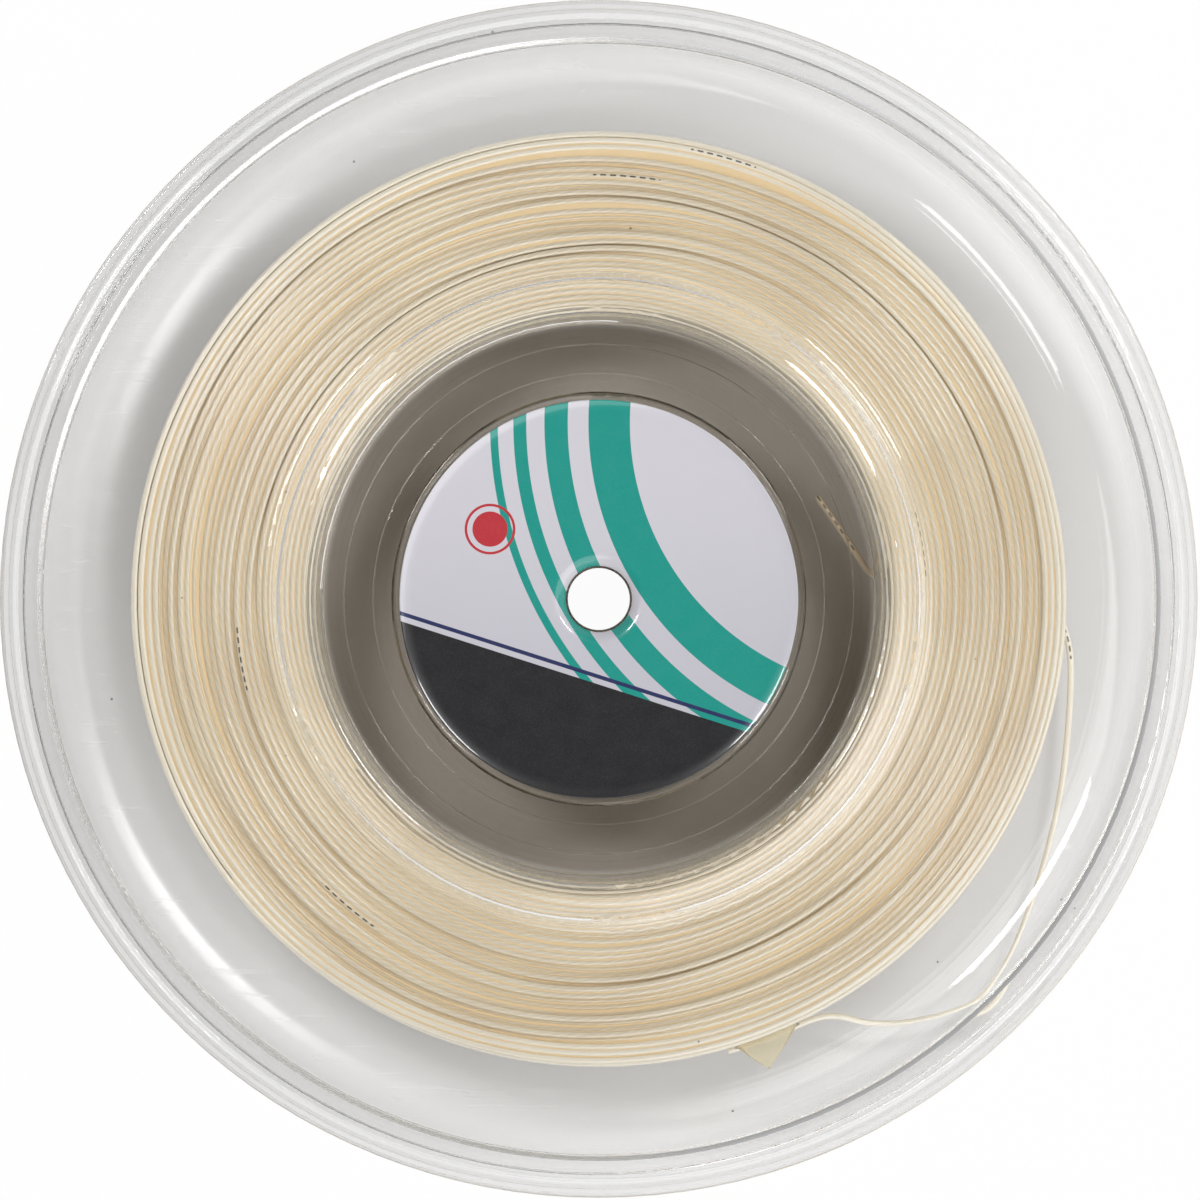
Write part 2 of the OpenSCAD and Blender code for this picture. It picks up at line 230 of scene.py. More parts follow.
def soften(values, reach=3):
    """Takes the kinks out of a line of values."""
    kernel = np.exp(-0.5 * (np.arange(-3 * reach, 3 * reach + 1) / reach) ** 2)
    padded = np.pad(values, 3 * reach, mode="edge")
    return np.convolve(padded, kernel / kernel.sum(), "valid")

# %% One face of rows
DIP_REACH = 13
GAP_REACH = 9
GAP_ABOVE = 0.3
WIDEST_SHARE = 0.8


def face_rows(rows, inner_r, outer_r, dip, lead_in, lead_out, base=0.0):
    """Radius and depth of a spiral from t = -1 to rows + 1 turns, as two tables with a line per turn."""
    count = (rows + 3) * TURN_STEPS
    t = np.arange(count) / TURN_STEPS - 1
    wild = ease((t - 3) / 6) * ease((rows - 0.5 - t) / 2)
    depth = dip * (0.5 + 0.5 * np.tanh(1.8 * smooth_chance(count, DIP_REACH))) * (0.12 + 0.88 * wild)
    depth *= ease(t * 1.5) * ease((rows - t) * 1.5)
    depth += base + lead_in * np.clip(-t, 0, None) + lead_out * np.clip(t - rows, 0, None)
    gaps = (np.clip(smooth_chance(count, GAP_REACH) - GAP_ABOVE, 0, WIDEST_SHARE) + 0.03) * wild
    gaps += 0.01 * ease(t) * ease(rows - 0.5 - t)

    fall = depth[TURN_STEPS:] - depth[:-TURN_STEPS]
    close = np.sqrt(np.clip(STRING_D ** 2 - fall ** 2, (0.05 * MM) ** 2, None))
    close = close[:(rows + 1) * TURN_STEPS].reshape(rows + 1, TURN_STEPS)
    gaps = gaps[:(rows + 1) * TURN_STEPS].reshape(rows + 1, TURN_STEPS)
    spare = outer_r - inner_r - close.sum(0)
    share = spare / gaps.sum(0)
    radius = inner_r + np.concatenate([np.zeros((1, TURN_STEPS)), np.cumsum(close + share * gaps, axis=0)])
    print(rows, "rows: spare room", (spare.min() / MM).round(2), "to", (spare.max() / MM).round(2), "mm,",
          "widest gap", ((share * gaps).max() / MM).round(2), "mm")
    return radius, depth[:radius.size].reshape(radius.shape)


# %% The rows of the front and the rear face
FACE_ROWS = 28
INNER_R = DRUM_R + STRING_D / 2
front_r, front_depth = face_rows(FACE_ROWS, INNER_R, OUTER_R, 1.12 * MM, 1.26 * MM, 1.3 * MM)
rear_r, rear_depth = face_rows(FACE_ROWS - 1, INNER_R, OUTER_R - STRING_D, 1.0 * MM, 1.26 * MM, 2.6 * MM)

# %% [markdown]
# Along the drum and over the outside the string runs as a helix, one turn beside the next. The outer
# layer also has narrow gaps, so a second helix that climbs the other way lies under it. The visible
# string is one unbroken line: from the hub, through the drum, to the front, out over the face, and back
# over the outside to the rear.

# %% Helix over the outside
OUTER_TURNS = 18.6


def helix_depths(turns, total):
    """Depth along a helix whose turns touch or leave small gaps, ending at the total."""
    count = int(round(turns * TURN_STEPS))
    t = np.arange(count + 1) / TURN_STEPS
    gaps = np.clip(smooth_chance(count + 1, 22) - 0.4, 0, None) + 0.02
    tight = STRING_D * t
    opened = np.zeros(count + 1)
    for i in range(count + 1):
        opened[i] = opened[i - TURN_STEPS] + gaps[i] if i >= TURN_STEPS else gaps[i] * t[i]
    spare = total - tight[-1]
    return tight + opened * spare / opened[-1]


outer_depth = soften(helix_depths(OUTER_TURNS, 2 * FACE_Z))
outer_depth += np.linspace(-outer_depth[0], 2 * FACE_Z - outer_depth[-1], len(outer_depth))
print("outer layer:", OUTER_TURNS, "turns")

# %% Lines of the string
END_ANGLE = math.atan2(LAYER_END[1], LAYER_END[0])
START_POINT = [55.4, 4.4, -0.8]
START_ANGLE = math.atan2(START_POINT[1], START_POINT[0])
END_TURN = FACE_ROWS + OUTER_TURNS
to_start = (START_ANGLE - END_ANGLE) / (2 * np.pi)
INNER_TURNS = math.ceil(END_TURN + 10 - to_start) + to_start - END_TURN
HUB_ROUTE = [[42.2, 19.8, -0.8], [44.6, 16.4, -0.8], [46.8, 13.2, -0.8], [48.8, 10.2, -0.8],
             [50.6, 7.4, -0.8], [51.9, 5.6, -0.8], [53, 4.6, -0.8], [54.2, 4.4, -0.8], [55.2, 4.4, -0.8]]


def place(t, radius, height):
    """Points at t turns along the string, which runs clockwise as seen from the front."""
    angle = END_ANGLE - 2 * np.pi * (t - END_TURN)
    return np.stack([radius * np.cos(angle), radius * np.sin(angle), MIDDLE + height + 0 * t], axis=-1)


def lead_in_helix(turns, from_height, to_height):
    t = -np.arange(int(turns * TURN_STEPS), 0, -1) / TURN_STEPS
    climb = 1 + t / turns
    return place(t, INNER_R, from_height + (to_height - from_height) * climb)


def face_line(radius, depth, side):
    """A face's rows as one line; side is 1 in front and -1 at the rear."""
    r = soften(radius[1:].ravel())
    z = soften(depth[1:].ravel())
    t = np.arange(len(r)) / TURN_STEPS
    return place(t, r, side * (FACE_Z - z)), z


front_line, front_buried = face_line(front_r, front_depth, 1)
face_count = FACE_ROWS * TURN_STEPS
outer_t = FACE_ROWS + np.arange(len(outer_depth)) / TURN_STEPS
outer_line = place(outer_t, OUTER_R, FACE_Z - outer_depth)
hub_line = smooth_line(from_middle(HUB_ROUTE), 3)
inner_line = lead_in_helix(INNER_TURNS, -0.8 * MM, FACE_Z)
main_line = np.concatenate([hub_line, inner_line[2:], front_line[:face_count], outer_line])
before_face = len(hub_line) + len(inner_line) - 2
main_buried = np.concatenate([np.zeros(before_face), front_buried[:face_count], np.zeros(len(outer_line))])
turning = 0.25 * ease((np.arange(len(outer_line)) / TURN_STEPS - 0.7) * 2)
main_beside = np.concatenate([np.zeros(before_face + face_count), turning])
print("main string line:", round(run_length(main_line)[-1], 2), "m,", len(main_line), "points")

# %% [markdown]
# The lines become tubes of eight sides. The rear face and the lower helix are lines of their own.
# Through the narrow gaps of a face only the backs of the next layer are seen, lit by light that has
# come through the nylon. A thin sheet is enough for it: it hangs from row to row, a little above their
# middle lines, and its golden colour is painted shade and painted light for those backs. A plain ring
# fills the rest of the winding.

# %% String pieces
string_winding = tube("string_winding", main_line, STRING_D, buried=main_buried / MM, beside=main_beside)
main_run = run_length(main_line)[-1]
tail = tube("string_loose_end", tail_path, STRING_D, sides=12, run_start=main_run)

rear_line, rear_buried = face_line(rear_r, rear_depth, -1)
rear_inner = lead_in_helix(INNER_TURNS, -2.1 * MM, -FACE_Z)
rear_all = np.concatenate([rear_inner, rear_line])
rear_buried = np.concatenate([np.zeros(len(rear_inner)), rear_buried])
rear_rows = tube("rear_rows", rear_all, STRING_D, buried=rear_buried / MM)

lower_t = np.arange(int(19 * TURN_STEPS)) / TURN_STEPS
lower_line = place(lower_t, OUTER_R - 1.1 * MM, -0.96 * FACE_Z + 1.92 * FACE_Z * lower_t / lower_t[-1])
lower_helix = tube("lower_outer_layer", lower_line, STRING_D, buried=1.1, beside=0.25)

# %% Layer beneath the rows
SHEET_LIFT = 0.15 * MM
SHEET_T = 0.15 * MM


def layer_beneath(name, line, side):
    """A sheet that hangs between neighbouring rows of a face, a little above their middle lines."""
    points = line + np.array([0, 0, side * SHEET_LIFT])
    first = np.arange(len(points) - TURN_STEPS - 1)
    faces = np.stack([first, first + 1, first + TURN_STEPS + 1, first + TURN_STEPS], axis=-1)
    mesh = bpy.data.meshes.new(name)
    mesh.from_pydata(points.tolist(), [], faces.tolist())
    mesh.polygons.foreach_set("use_smooth", np.ones(len(faces), bool))
    piece = bpy.data.objects.new(name, mesh)
    bpy.context.scene.collection.objects.link(piece)
    solid = piece.modifiers.new("thickness", "SOLIDIFY")
    solid.thickness = SHEET_T
    solid.offset = side
    return piece


front_sheet = layer_beneath("front_layer_beneath", front_line[:face_count], 1)
rear_sheet = layer_beneath("rear_layer_beneath", rear_line[:face_count - TURN_STEPS], -1)

# %% Ring that fills the winding
def revolve(name, outline, steps=256):
    """A closed ring from an outline of (radius, height) points."""
    outline = np.asarray(outline, float)
    angle = 2 * np.pi * np.arange(steps) / steps
    x = outline[None, :, 0] * np.cos(angle)[:, None]
    y = outline[None, :, 0] * np.sin(angle)[:, None]
    z = np.broadcast_to(outline[None, :, 1], (steps, len(outline)))
    points = np.stack([x, y, z], axis=-1).reshape(-1, 3)
    n = len(outline)
    first = np.arange(steps)[:, None] * n
    then = (np.arange(steps)[:, None] + 1) % steps * n
    k = np.arange(n)[None]
    k2 = (k + 1) % n
    faces = np.stack([first + k, then + k, then + k2, first + k2], axis=-1).reshape(-1, 4)
    mesh = bpy.data.meshes.new(name)
    mesh.from_pydata(points.tolist(), [], faces.tolist())
    mesh.polygons.foreach_set("use_smooth", np.ones(len(faces), bool))
    piece = bpy.data.objects.new(name, mesh)
    bpy.context.scene.collection.objects.link(piece)
    return piece


RIDGES = 26
core_z = FACE_Z - 2.0 * MM
core_in = INNER_R + 1.2 * MM
core_out = OUTER_R - 1.9 * MM
ridge_r = np.linspace(core_in, core_out, RIDGES * 6)
ridge_wave = 0.3 * MM * np.abs(np.sin(np.pi * RIDGES * (ridge_r - core_in) / (core_out - core_in)))
front_side = np.stack([ridge_r, MIDDLE + core_z + ridge_wave], axis=-1)
rear_side = np.stack([ridge_r, MIDDLE - core_z - ridge_wave], axis=-1)
core = revolve("winding_core", np.concatenate([rear_side, front_side[::-1]]))
string_pieces = [string_winding, tail, rear_rows, lower_helix]
print("faces of the string pieces:", {p.name: len(p.data.polygons) for p in string_pieces})

# %% [markdown]
# ## Strip of tape
#
# A short strip of clear tape holds the end of the string on the winding. It lies over the outer turns,
# and its front end has come loose: it stands away from the winding and is torn to a corner. A sheet of
# tape is a grid of points that is bent as a whole, so the grid is made flat first, in its own width and
# length, and each point is then carried to its place round the winding.

# %% Tape
TAPE_TURN = math.radians(-68.9)
TAPE_W = 13 * MM
TAPE_LOW = 90.14 * MM
TAPE_REAR = 10.4 * MM
TAPE_FRONT = 29.2 * MM
TAPE_TIP = 6.5 * MM
TAPE_SKEW = -1.9 * MM
STRING_UNDER = 13.5 * MM


def tape_point(across, along):
    """across is -1 to 1 over the width; along is 0 at the rear, 1 at the bend and 2 at the tip."""
    if along <= 1:
        height = TAPE_REAR + (TAPE_FRONT - TAPE_REAR) * along
        hump = max(0.0, 1 - ((height - STRING_UNDER) / (1.9 * MM)) ** 2)
        radius = TAPE_LOW + 1.2 * MM * hump ** 0.7
        sideways = across * TAPE_W / 2
    else:
        lift = along - 1
        narrow = 1 - lift
        sideways = across * TAPE_W / 2 * narrow + TAPE_SKEW * lift
        radius = TAPE_LOW + 0.1 * MM + (TAPE_TIP - 0.3 * MM) * lift
        height = TAPE_FRONT - 0.25 * MM * math.sin(lift * 3) * (1 + 0.4 * across)
    angle = TAPE_TURN + sideways / TAPE_LOW
    return (radius * math.cos(angle), radius * math.sin(angle), height)


def grid_piece(name, point, us, vs, thickness):
    """A bent sheet from a function of two coordinates, with a real thickness."""
    points = [point(u, v) for v in vs for u in us]
    n = len(us)
    faces = [(j * n + i, j * n + i + 1, (j + 1) * n + i + 1, (j + 1) * n + i)
             for j in range(len(vs) - 1) for i in range(n - 1)]
    mesh = bpy.data.meshes.new(name)
    mesh.from_pydata(points, [], faces)
    mesh.polygons.foreach_set("use_smooth", np.ones(len(faces), bool))
    piece = bpy.data.objects.new(name, mesh)
    bpy.context.scene.collection.objects.link(piece)
    solid = piece.modifiers.new("thickness", "SOLIDIFY")
    solid.thickness = thickness
    solid.offset = 0
    return piece


tape_v = list(np.linspace(0, 1, 40)) + list(1 + np.linspace(0.02, 0.97, 14))
tape = grid_piece("end_tape_strip", tape_point, np.linspace(-1, 1, 15), tape_v, 0.06 * MM)
print("tape:", len(tape.data.vertices), "points")

# %% [markdown]
# ## Label
#
# The label is a printed disc of film that lies in the seat of the front hub. It is cut a touch larger
# than the flat of the seat, so its last two millimetres curl up against the seat's fillet and catch the
# light. A lathe outline gives this: flat, a shallow curl, the cut edge, and back under.

# %% Label disc
LABEL_HOLE = 6.4 * MM
LABEL_R = 38.48 * MM
LABEL_LOW = 26.86 * MM
LABEL_T = 0.18 * MM
LABEL_CURL = 0.42 * MM
CURL_FROM = 35.9 * MM


def label_height(radius):
    return LABEL_CURL * np.clip((radius - CURL_FROM) / (LABEL_R - CURL_FROM), 0, 1) ** 2


radii = np.concatenate([np.linspace(LABEL_HOLE, CURL_FROM, 12), np.linspace(CURL_FROM, LABEL_R, 12)[1:]])
low = np.stack([radii, LABEL_LOW + label_height(radii)], axis=-1)
label_disc = revolve("label_disc", np.concatenate([low, (low + [0, LABEL_T])[::-1]]), steps=360)
print("label:", round(2 * LABEL_R / MM, 1), "mm across")

# %% [markdown]
# ## Nodes in plain words
#
# Materials are small graphs of nodes. Two helpers keep them readable: one adds a node and links or sets
# its inputs by name, the other does arithmetic. Colours are written as they look on a screen, from 0 to
# 255, and turned into the linear values that the renderer calculates with.

# %% Node helpers
def colour(red, green, blue):
    linear = [((c / 255 + 0.055) / 1.055) ** 2.4 if c > 10 else c / 255 / 12.92 for c in (red, green, blue)]
    return (*linear, 1)


def feed(tree, socket, value):
    if isinstance(value, bpy.types.NodeSocket):
        tree.links.new(value, socket)
    else:
        socket.default_value = value


def add(tree, kind, settings=None, **inputs):
    """A node of that kind; an underscore in an input's name stands for a space."""
    made = tree.nodes.new("ShaderNode" + kind)
    for name, value in (settings or {}).items():
        setattr(made, name, value)
    for name, value in inputs.items():
        feed(tree, made.inputs[name.replace("_", " ")], value)
    return made


def calc(tree, operation, *values):
    made = tree.nodes.new("ShaderNodeMath")
    made.operation = operation
    for socket, value in zip(made.inputs, values):
        feed(tree, socket, value)
    return made.outputs[0]


def mix_colour(tree, factor, a, b):
    made = tree.nodes.new("ShaderNodeMix")
    made.data_type = "RGBA"
    feed(tree, made.inputs[0], factor)
    feed(tree, made.inputs[6], a)
    feed(tree, made.inputs[7], b)
    return made.outputs[2]


def ramp(tree, value, low, high):
    """0 below low, 1 above high, and a smooth step between."""
    made = tree.nodes.new("ShaderNodeMapRange")
    made.interpolation_type = "SMOOTHSTEP"
    for socket, part in zip(made.inputs, (value, low, high, 0.0, 1.0)):
        feed(tree, socket, part)
    return made.outputs[0]


def distance_from(tree, x, y, cx, cy):
    dx = calc(tree, "SUBTRACT", x, cx)
    dy = calc(tree, "SUBTRACT", y, cy)
    squares = calc(tree, "ADD", calc(tree, "MULTIPLY", dx, dx), calc(tree, "MULTIPLY", dy, dy))
    return calc(tree, "SQRT", squares)


def new_material(name):
    material = bpy.data.materials.new(name)
    material.use_nodes = True
    tree = material.node_tree
    tree.nodes.clear()
    return material, tree, add(tree, "OutputMaterial")


def dress(piece, material):
    piece.data.materials.clear()
    piece.data.materials.append(material)

# %% [markdown]
# ## Clear moulded plastic
#
# The halves are injection moulded from clear polystyrene: colourless, very smooth, with a high index of
# refraction that gives bright, thin edge lines. A real moulding isn't perfect glass. Its surface wavers
# a little, and it carries fine dust and short hairline scratches from handling. All this breaks up the
# highlights.
#
# Two touches here are for the look alone. Inside the drum the plastic is tinted a warm grey: painted
# shade, because such a hub shows much darker than clean plastic over a pale floor would. And the cove
# is given a duller finish on the left side, so that it doesn't mirror a lamp as a hard white arc.
#
# The renderer would treat the plastic as opaque to the lamps' direct light, so the two halves cast no
# shadow, and light that the string and the floor scatter passes them freely too: what lies inside is
# then lit, at the cost of bright caustic lines that are hardly seen here. The renderer also gives up on
# light that has bounced a dozen times between the walls, which leaves black rings at the drum. So after
# a few bounces the plastic lets the light go straight on, to whatever lies behind: after three at the
# hub and over the winding, and after six further out, where the dark lines of a clear rim come from
# just such trapped light.

# %% Clear plastic
HUB_PAINTED_SHADE = (54 * MM, 52 * MM)
COVE_STARTS = (92 * MM, 97 * MM)
COVE_ENDS = (108 * MM, 103 * MM)
FLANGE_STARTS = (88 * MM, 92 * MM)
BOUNCES_AT_HUB = 2.5
MORE_BOUNCES_OUTSIDE = 3.0


def clear_plastic():
    material, tree, out = new_material("clear_polystyrene")
    place_of = add(tree, "TexCoord").outputs["Object"]
    waver = add(tree, "TexNoise", Vector=place_of, Scale=55.0, Detail=1.0).outputs["Fac"]
    skin = add(tree, "TexNoise", Vector=place_of, Scale=900.0, Detail=2.0).outputs["Fac"]
    dust = add(tree, "TexVoronoi", Vector=place_of, Scale=150.0)
    lot = add(tree, "SeparateColor", Color=dust.outputs["Color"]).outputs[0]
    picked = calc(tree, "GREATER_THAN", lot, 0.86)
    speck = calc(tree, "MULTIPLY", picked, calc(tree, "LESS_THAN", dust.outputs["Distance"], 0.035))
    stretched = add(tree, "Mapping", Vector=place_of, Scale=(60.0, 900.0, 60.0), Rotation=(0.3, 0.2, 0.7))
    hair = add(tree, "TexNoise", Vector=stretched.outputs[0], Scale=1.0, Detail=0.0).outputs["Fac"]
    scratch = calc(tree, "MULTIPLY", ramp(tree, hair, 0.70, 0.74), 0.4)

    parts = add(tree, "SeparateXYZ", Vector=place_of)
    from_axis = distance_from(tree, parts.outputs[0], parts.outputs[1], 0.0, 0.0)
    # Painted shade: inside the drum the plastic is tinted a warm grey, so that the hub shows dark.
    painted_hub_shade = ramp(tree, from_axis, *HUB_PAINTED_SHADE)
    tinted = mix_colour(tree, painted_hub_shade, colour(253, 253, 253), colour(210, 204, 196))
    body = mix_colour(tree, speck, tinted, colour(120, 116, 110))
    cove = calc(tree, "MULTIPLY", ramp(tree, from_axis, *COVE_STARTS), ramp(tree, from_axis, *COVE_ENDS))
    dull = calc(tree, "MULTIPLY", cove, ramp(tree, parts.outputs[0], 45 * MM, -15 * MM))
    rough = calc(tree, "ADD", calc(tree, "MULTIPLY", scratch, 0.15), calc(tree, "MULTIPLY", skin, 0.03))
    rough = calc(tree, "MULTIPLY_ADD", dull, 0.22, rough)
    height = calc(tree, "ADD", calc(tree, "MULTIPLY", waver, 1.0), calc(tree, "MULTIPLY", scratch, 0.01))
    bump = add(tree, "Bump", Strength=0.2, Distance=0.00012, Height=height)
    plastic = add(tree, "BsdfPrincipled", Base_Color=body, Roughness=rough, IOR=1.5,
                  Transmission_Weight=1.0, Normal=bump.outputs[0])
    clear = add(tree, "BsdfTransparent", Color=colour(249, 249, 249))
    path = add(tree, "LightPath")
    outside = ramp(tree, from_axis, *FLANGE_STARTS)
    bounces = calc(tree, "MULTIPLY_ADD", outside, MORE_BOUNCES_OUTSIDE, BOUNCES_AT_HUB)
    tired = calc(tree, "GREATER_THAN", path.outputs["Ray Depth"], bounces)
    both = add(tree, "MixShader", Fac=tired)
    tree.links.new(plastic.outputs[0], both.inputs[1])
    tree.links.new(clear.outputs[0], both.inputs[2])
    tree.links.new(both.outputs[0], out.inputs[0])
    return material


clear = clear_plastic()
for node in ("front_half", "rear_half"):
    frame_half = frame["nodes"][node]
    dress(frame_half, clear)
    frame_half.visible_shadow = False
    frame_half.visible_diffuse = False
print("clear plastic on the two halves")

# %% [markdown]
# ## Cream string
#
# The string is a core with strands of nylon laid round it and bonded with a glossy coating. Close up it
# shows slanting pale streaks, one every 3 mm, with long lenses of grey-lilac between them. The streaks
# are partly the paler strands and partly a painted highlight of their glint; the lenses are painted
# shade. The UV map makes this easy: U counts metres along, V counts once round, so four times V less U
# over the streak's length is the same all along one strand. Noise makes the strands uneven. Nylon lets
# light through, so the places where two strings touch are given a paler colour, which makes up for the
# light that would come through. Where a string lies deep, it is painted golden: painted shade, for light
# that reaches it only through the nylon above. The outer turns are painted paler, for light that comes
# through them from the side, and their streaks are fainter. The coating is smooth, so each string
# carries a thin white line of the lamps. A few groups of short dark dashes stand for the marks that
# such string is printed with.

# %% String material
STRANDS = 4
LAY_PITCH = 12 * MM
MARK_EVERY = 2.7
MARKS_LONG = 13 * MM
DASH_EVERY = 1.9 * MM
LIT_OUTER_TURNS = (84 * MM, 87.5 * MM)


def print_marks(tree, run, turn):
    """Short dashes along the string's front, in a short group every few metres."""
    within = calc(tree, "MODULO", run, MARK_EVERY)
    group = calc(tree, "LESS_THAN", within, MARKS_LONG)
    dash = calc(tree, "LESS_THAN", calc(tree, "FRACT", calc(tree, "MULTIPLY", run, 1 / DASH_EVERY)), 0.6)
    facing = calc(tree, "COMPARE", turn, 0.27, 0.045)
    return calc(tree, "MULTIPLY", calc(tree, "MULTIPLY", group, dash), facing)


def string_finish(name, light, shade):
    material, tree, out = new_material(name)
    uv = add(tree, "UVMap", {"uv_map": "lay"}).outputs[0]
    parts = add(tree, "SeparateXYZ", Vector=uv)
    run, turn = parts.outputs[0], parts.outputs[1]
    place_of = add(tree, "TexCoord").outputs["Object"]
    uneven = add(tree, "TexNoise", Vector=place_of, Scale=500.0, Detail=2.0).outputs["Fac"]
    drift = add(tree, "TexNoise", Vector=place_of, Scale=110.0, Detail=1.0).outputs["Fac"]
    tone = add(tree, "TexNoise", Vector=place_of, Scale=45.0, Detail=1.0).outputs["Fac"]

    back = calc(tree, "MULTIPLY", run, -STRANDS / LAY_PITCH)
    phase = calc(tree, "MULTIPLY_ADD", turn, float(STRANDS), back)
    phase = calc(tree, "MULTIPLY_ADD", uneven, 0.16, calc(tree, "MULTIPLY_ADD", drift, 1.2, phase))
    part = calc(tree, "FRACT", phase)
    rising = ramp(tree, part, 0.0, 0.05)
    falling = ramp(tree, part, 0.16, 0.08)
    streak = calc(tree, "MULTIPLY", rising, falling)
    lens = calc(tree, "MULTIPLY", ramp(tree, part, 0.35, 0.60), ramp(tree, part, 1.0, 0.80))

    strength = ramp(tree, tone, 0.30, 0.70)
    base = mix_colour(tree, strength, light, shade)
    from_axis = distance_from(tree, *add(tree, "SeparateXYZ", Vector=place_of).outputs[:2], 0.0, 0.0)
    # Painted light: the outer turns are painted paler, with fainter streaks, for light that comes through
    # them from the side.
    outer_lit = ramp(tree, from_axis, *LIT_OUTER_TURNS)
    clear_streak = calc(tree, "MULTIPLY_ADD", outer_lit, -0.3, 0.5)
    # Painted shade: grey-lilac lenses between the streaks.
    shaded = mix_colour(tree, calc(tree, "MULTIPLY", lens, 0.12), base, colour(200, 186, 168))
    painted_outer_light = mix_colour(tree, calc(tree, "MULTIPLY", outer_lit, 0.6), shaded, colour(250, 243, 226))
    # The pale streaks are partly the paler strands and partly a painted highlight of their glint.
    body = mix_colour(tree, calc(tree, "MULTIPLY", streak, clear_streak), painted_outer_light, colour(255, 252, 244))

    beside = add(tree, "Attribute", {"attribute_name": "beside"}).outputs["Fac"]
    round_from = calc(tree, "MULTIPLY", calc(tree, "SUBTRACT", turn, beside), 2 * math.pi)
    crevice = ramp(tree, calc(tree, "ABSOLUTE", calc(tree, "COSINE", round_from)), 0.90, 1.0)
    deep = ramp(tree, add(tree, "Attribute", {"attribute_name": "buried"}).outputs["Fac"], 0.5, 1.4)
    lit = mix_colour(tree, calc(tree, "MULTIPLY", crevice, 0.6), body, colour(250, 234, 198))
    # Painted shade: a deep string turns golden, for light that reaches it only through the nylon above.
    painted_deep_shade = mix_colour(tree, calc(tree, "MULTIPLY", deep, 0.45), lit, colour(206, 178, 130))
    ink = calc(tree, "MULTIPLY", print_marks(tree, run, turn), 0.85)
    printed = mix_colour(tree, ink, painted_deep_shade, colour(48, 46, 44))

    rough = calc(tree, "MULTIPLY_ADD", uneven, 0.12, 0.18)
    bump = add(tree, "Bump", Strength=0.2, Distance=0.00006, Height=calc(tree, "SUBTRACT", streak, lens))
    nylon = add(tree, "BsdfPrincipled", Base_Color=printed, Roughness=rough, IOR=1.53, Coat_Weight=1.0,
                Coat_IOR=1.95, Coat_Roughness=0.05, Normal=bump.outputs[0])
    tree.links.new(nylon.outputs[0], out.inputs[0])
    return material


wound_string = string_finish("cream_string", colour(230, 217, 190), colour(222, 207, 180))
# Painted light: the loose end is a paler copy of the string, for a single string with light all round it.
painted_light_single_string = string_finish("single_cream_string", colour(252, 246, 230), colour(250, 242, 224))
for piece in string_pieces:
    dress(piece, wound_string)
dress(tail, painted_light_single_string)
print("string:", STRANDS, "strands, one streak every", round(LAY_PITCH / STRANDS / MM, 1), "mm")

# %% Core material
# Painted shade and light: the golden colour of the ring and the sheets stands for the backs of deeper
# strings, lit only through the nylon.
def core_finish():
    material, tree, out = new_material("shaded_string")
    place_of = add(tree, "TexCoord").outputs["Object"]
    grain = add(tree, "TexNoise", Vector=place_of, Scale=300.0, Detail=3.0).outputs["Fac"]
    body = mix_colour(tree, grain, colour(230, 202, 154), colour(236, 210, 168))
    bump = add(tree, "Bump", Strength=0.5, Distance=0.0002, Height=grain)
    shaded = add(tree, "BsdfPrincipled", Base_Color=body, Roughness=0.6, Normal=bump.outputs[0])
    tree.links.new(shaded.outputs[0], out.inputs[0])
    return material


shaded_string = core_finish()
for piece in (core, front_sheet, rear_sheet):
    dress(piece, shaded_string)

# %% [markdown]
# ## Tape and label finishes
#
# The tape is thin, slightly yellow and hazy: mostly transparent, with a rough transmission. The label
# is printed film: a silver-lilac field, a dark band, green-blue arcs and a small red mark, under a
# glossy laminate. The shapes of the print are drawn with arithmetic on the place of each point, so that
# their edges stay sharp at any size.

# %% Tape finish
def tape_finish():
    material, tree, out = new_material("clear_tape")
    place_of = add(tree, "TexCoord").outputs["Object"]
    crease = add(tree, "TexNoise", Vector=place_of, Scale=260.0, Detail=3.0).outputs["Fac"]
    body = mix_colour(tree, crease, colour(246, 240, 220), colour(236, 228, 204))
    bump = add(tree, "Bump", Strength=0.4, Distance=0.0002, Height=crease)
    film = add(tree, "BsdfPrincipled", Base_Color=body, Roughness=0.22, IOR=1.3, Transmission_Weight=0.8,
               Normal=bump.outputs[0])
    clear_film = add(tree, "BsdfTransparent", Color=colour(250, 247, 238))
    is_shadow = add(tree, "LightPath").outputs["Is Shadow Ray"]
    both = add(tree, "MixShader", Fac=is_shadow)
    tree.links.new(film.outputs[0], both.inputs[1])
    tree.links.new(clear_film.outputs[0], both.inputs[2])
    tree.links.new(both.outputs[0], out.inputs[0])
    return material


dress(tape, tape_finish())

# %% Label print
EDGE = 0.04 * MM


def below(tree, value, limit):
    """1 where value is under limit, with an edge as fine as print."""
    return ramp(tree, value, limit + EDGE, limit - EDGE)


def ring_mask(tree, distance, inner, outer):
    inside = below(tree, distance, outer)
    hole = below(tree, distance, inner)
    return calc(tree, "SUBTRACT", inside, hole)


